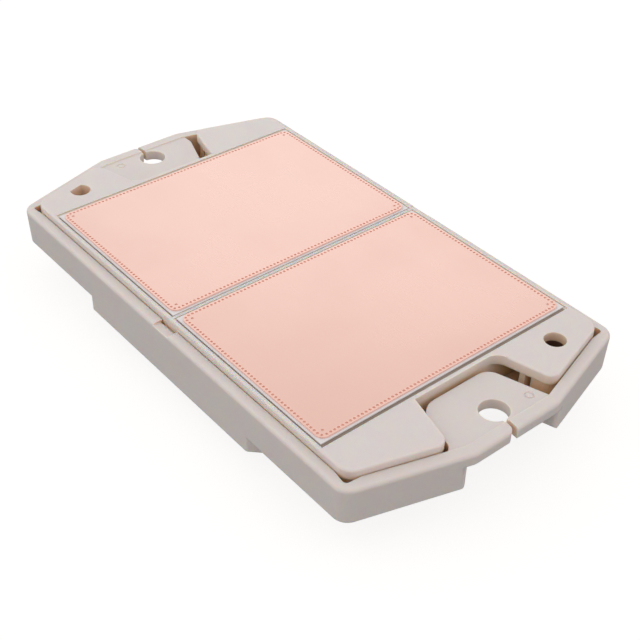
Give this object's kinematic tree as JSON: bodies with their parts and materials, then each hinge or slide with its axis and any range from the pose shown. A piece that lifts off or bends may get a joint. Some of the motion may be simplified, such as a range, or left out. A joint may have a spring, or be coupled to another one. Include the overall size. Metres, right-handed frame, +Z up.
{
  "type": "power mosfet module",
  "caption": "Flat power transistor module: off-white moulded housing with slit screw tabs, a frame holding copper-faced ceramic substrates, and press-fit contact pins under the lid.",
  "frame": {"origin": "centre of the module in plan, at the level of the contact pin tips", "axes": "+X along the module between its screw tabs, +Y across it, +Z up towards the copper cooling face"},
  "size_m": [0.1106, 0.062, 0.0162],
  "materials": {
    "housing_plastic": "satin off-white moulded plastic",
    "frame_plastic": "satin off-white moulded plastic",
    "substrate_ceramic": "fine matt alumina",
    "base_copper": "satin bare copper",
    "adhesive": "dark silicone glue",
    "circuit_copper": "etched bare copper",
    "solder": "dull tin",
    "silicon": "polished silicon",
    "bond_wire": "drawn aluminium",
    "pin_metal": "tin plated copper alloy",
    "sensor_ceramic": "dark sintered ceramic"
  },
  "bodies": {
    "root": {"outer_housing": "housing_plastic", "substrate_frame": "frame_plastic", "ceramic_plate_a": "substrate_ceramic", "ceramic_plate_b": "substrate_ceramic", "base_copper_a": "base_copper", "base_copper_b": "base_copper", "adhesive_bead_a": "adhesive", "adhesive_bead_b": "adhesive", "circuit_copper_a": "circuit_copper", "circuit_copper_b": "circuit_copper", "die_solder_a": "solder", "die_solder_b": "solder", "mosfet_dies_a": "silicon", "mosfet_dies_b": "silicon", "bond_wires_a": "bond_wire", "bond_wires_b": "bond_wire", "pin_sockets_a": "pin_metal", "pin_sockets_b": "pin_metal", "press_fit_pins_a": "pin_metal", "press_fit_pins_b": "pin_metal", "thermistor_body": "sensor_ceramic", "thermistor_caps": "solder"}
  },
  "joints": []
}
